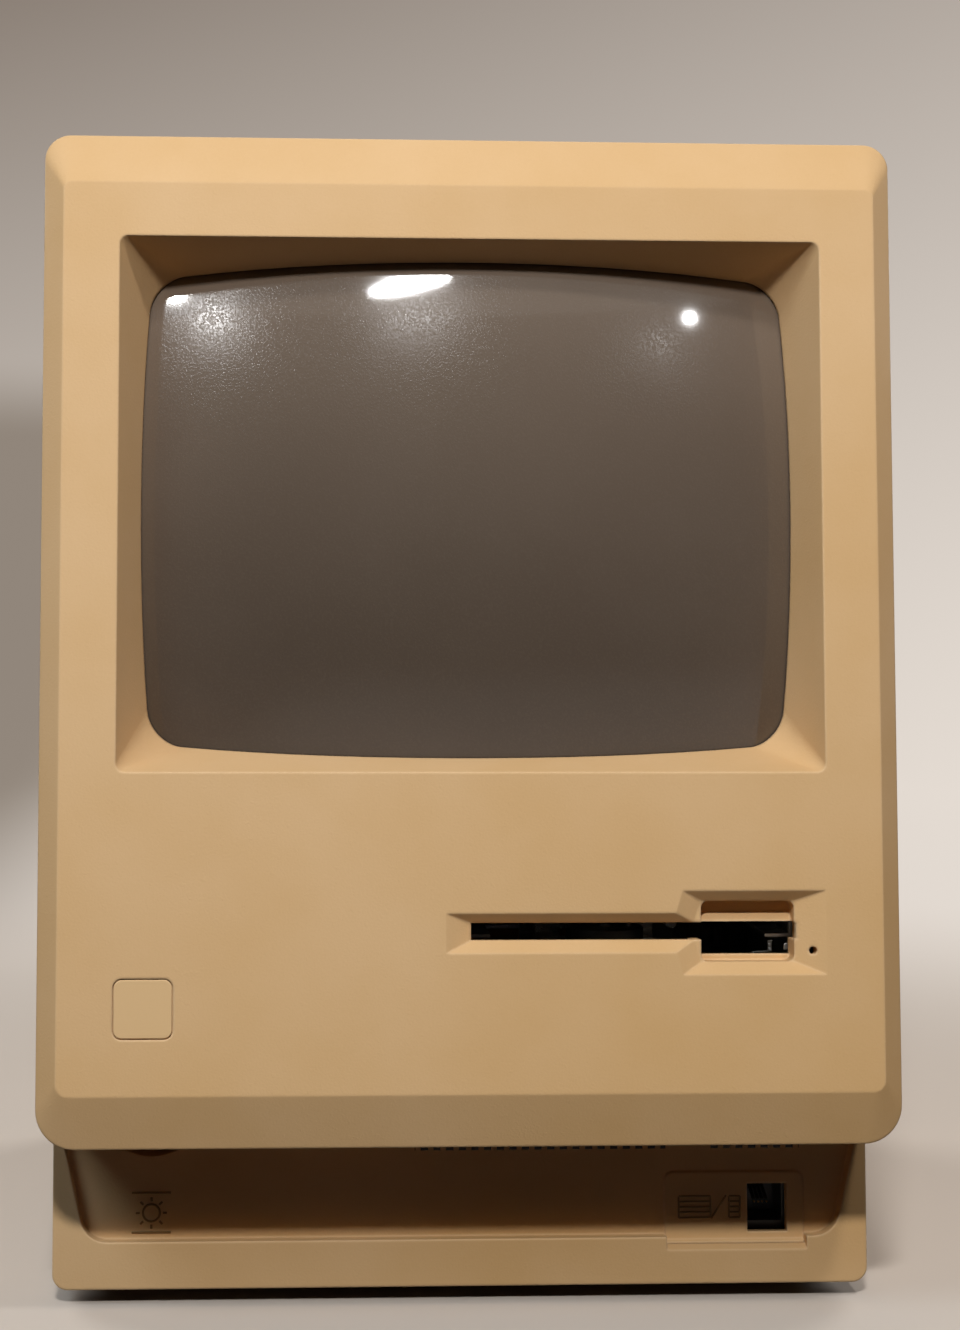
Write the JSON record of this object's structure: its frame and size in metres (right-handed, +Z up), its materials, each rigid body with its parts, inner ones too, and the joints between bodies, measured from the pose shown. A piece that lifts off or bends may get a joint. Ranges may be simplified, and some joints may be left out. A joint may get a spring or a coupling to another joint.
{
  "type": "vintage home computer",
  "caption": "Beige upright all-in-one desktop computer: leaning bezel with tube window and stepped disk slot, recessed kick panel, rear case with built-in handle.",
  "frame": {"origin": "on the table under the middle of the machine", "axes": "+Z up, the face looks along -Y, +X to the viewer's right"},
  "size_m": [0.244, 0.2766, 0.341],
  "materials": {
    "case_plastic": "fine moulded texture, warm beige",
    "tube_glass": "smooth dark screen glass",
    "black_plastic": "satin black",
    "steel": "zinc-plated sheet",
    "aluminium": "satin sheet",
    "rubber": "matt",
    "copper": "enamelled wire",
    "ferrite": "matt",
    "board": "laminate",
    "chip": "moulded",
    "capacitor_sleeve": "shrink sleeve",
    "connector": "tin plate",
    "battery_wrap": "printed sleeve without words",
    "cream_plastic": "moulded"
  },
  "bodies": {
    "root": {"front_bezel": "case_plastic", "rear_case": "case_plastic", "badge_plate": "case_plastic", "rubber_feet": "rubber", "case_screws": "steel", "crt_tube": "tube_glass", "electron_gun": "steel", "crt_band": "steel", "crt_screws": "steel", "yoke_liner": "cream_plastic", "yoke_windings": "copper", "yoke_core": "ferrite", "yoke_clamp": "steel", "neck_board": "board", "neck_socket": "cream_plastic", "anode_cap": "rubber", "chassis_frame": "aluminium", "analog_board": "board", "flyback_transformer": "black_plastic", "power_transformer": "ferrite", "capacitors": "capacitor_sleeve", "heatsink": "aluminium", "brightness_pot": "black_plastic", "speaker": "black_plastic", "mains_inlet": "black_plastic", "power_switch": "black_plastic", "battery_holder": "black_plastic", "battery": "battery_wrap", "button_clip": "case_plastic", "logic_board": "board", "processor": "chip", "rom_chips": "chip", "memory_chips": "chip", "logic_chips": "chip", "controller_chips": "chip", "board_buttons": "black_plastic", "mouse_port": "connector", "drive_port": "connector", "printer_port": "connector", "modem_port": "connector", "audio_jack": "black_plastic", "keyboard_jack": "black_plastic", "drive_cage": "aluminium", "drive_frame": "steel", "spindle_motor": "steel", "head_rails": "steel", "stepper_motor": "steel", "drive_board": "board"},
    "brightness_knob": {"brightness_knob": "case_plastic"},
    "power_rocker": {"power_rocker": "black_plastic"},
    "battery_door": {"battery_door": "case_plastic"},
    "reset_button": {"reset_button": "case_plastic"},
    "interrupt_button": {"interrupt_button": "case_plastic"},
    "eject_slider": {"eject_slider": "steel"},
    "disk_carriage": {"disk_carriage": "steel"},
    "spindle_hub": {"spindle_hub": "steel"},
    "head_carriage": {"head_carriage": "aluminium"},
    "lead_screw": {"lead_screw": "steel"}
  },
  "joints": [
    {"name": "brightness_turn", "type": "hinge", "parent": "root", "child": "brightness_knob", "pos_m": [-0.0924, -0.08512, 0.05943], "axis": [0, -0.9976, 0.0698], "range_deg": [-150, 150]},
    {"name": "power_rock", "type": "hinge", "parent": "root", "child": "power_rocker", "pos_m": [-0.088, 0.12739, 0.1406], "axis": [1, 0, 0], "range_deg": [0, 16]},
    {"name": "battery_door_swing", "type": "hinge", "parent": "root", "child": "battery_door", "pos_m": [-0.088, 0.12878, 0.16751], "axis": [-1, 0, 0], "range_deg": [0, 85]},
    {"name": "reset_press", "type": "slide", "parent": "root", "child": "reset_button", "axis": [1, 0, 0], "range_m": [0, 0.0025], "stiffness_N_per_m": 400, "springref_m": -0.0005},
    {"name": "interrupt_press", "type": "slide", "parent": "root", "child": "interrupt_button", "axis": [1, 0, 0], "range_m": [0, 0.0025], "stiffness_N_per_m": 400, "springref_m": -0.0005},
    {"name": "eject_slide", "type": "slide", "parent": "root", "child": "eject_slider", "axis": [0, -1, 0], "range_m": [0, 0.01]},
    {"name": "carriage_drop", "type": "slide", "parent": "root", "child": "disk_carriage", "axis": [0, 0, -1], "range_m": [0, 0.005]},
    {"name": "spindle_spin", "type": "hinge", "parent": "root", "child": "spindle_hub", "pos_m": [0.046, -0.068, 0.098], "axis": [0, 0, 1], "continuous": true},
    {"name": "head_seek", "type": "slide", "parent": "root", "child": "head_carriage", "axis": [0, -1, 0], "range_m": [0, 0.015]},
    {"name": "lead_screw_turn", "type": "hinge", "parent": "root", "child": "lead_screw", "pos_m": [0.072, 0, 0.1043], "axis": [0, 1, 0], "range_deg": [0, 1801]}
  ],
  "couplings": [
    {"joint": "carriage_drop", "follows": "eject_slide", "ratio": 0.5},
    {"joint": "lead_screw_turn", "follows": "head_seek", "rad_per_m": 2094.4}
  ]
}
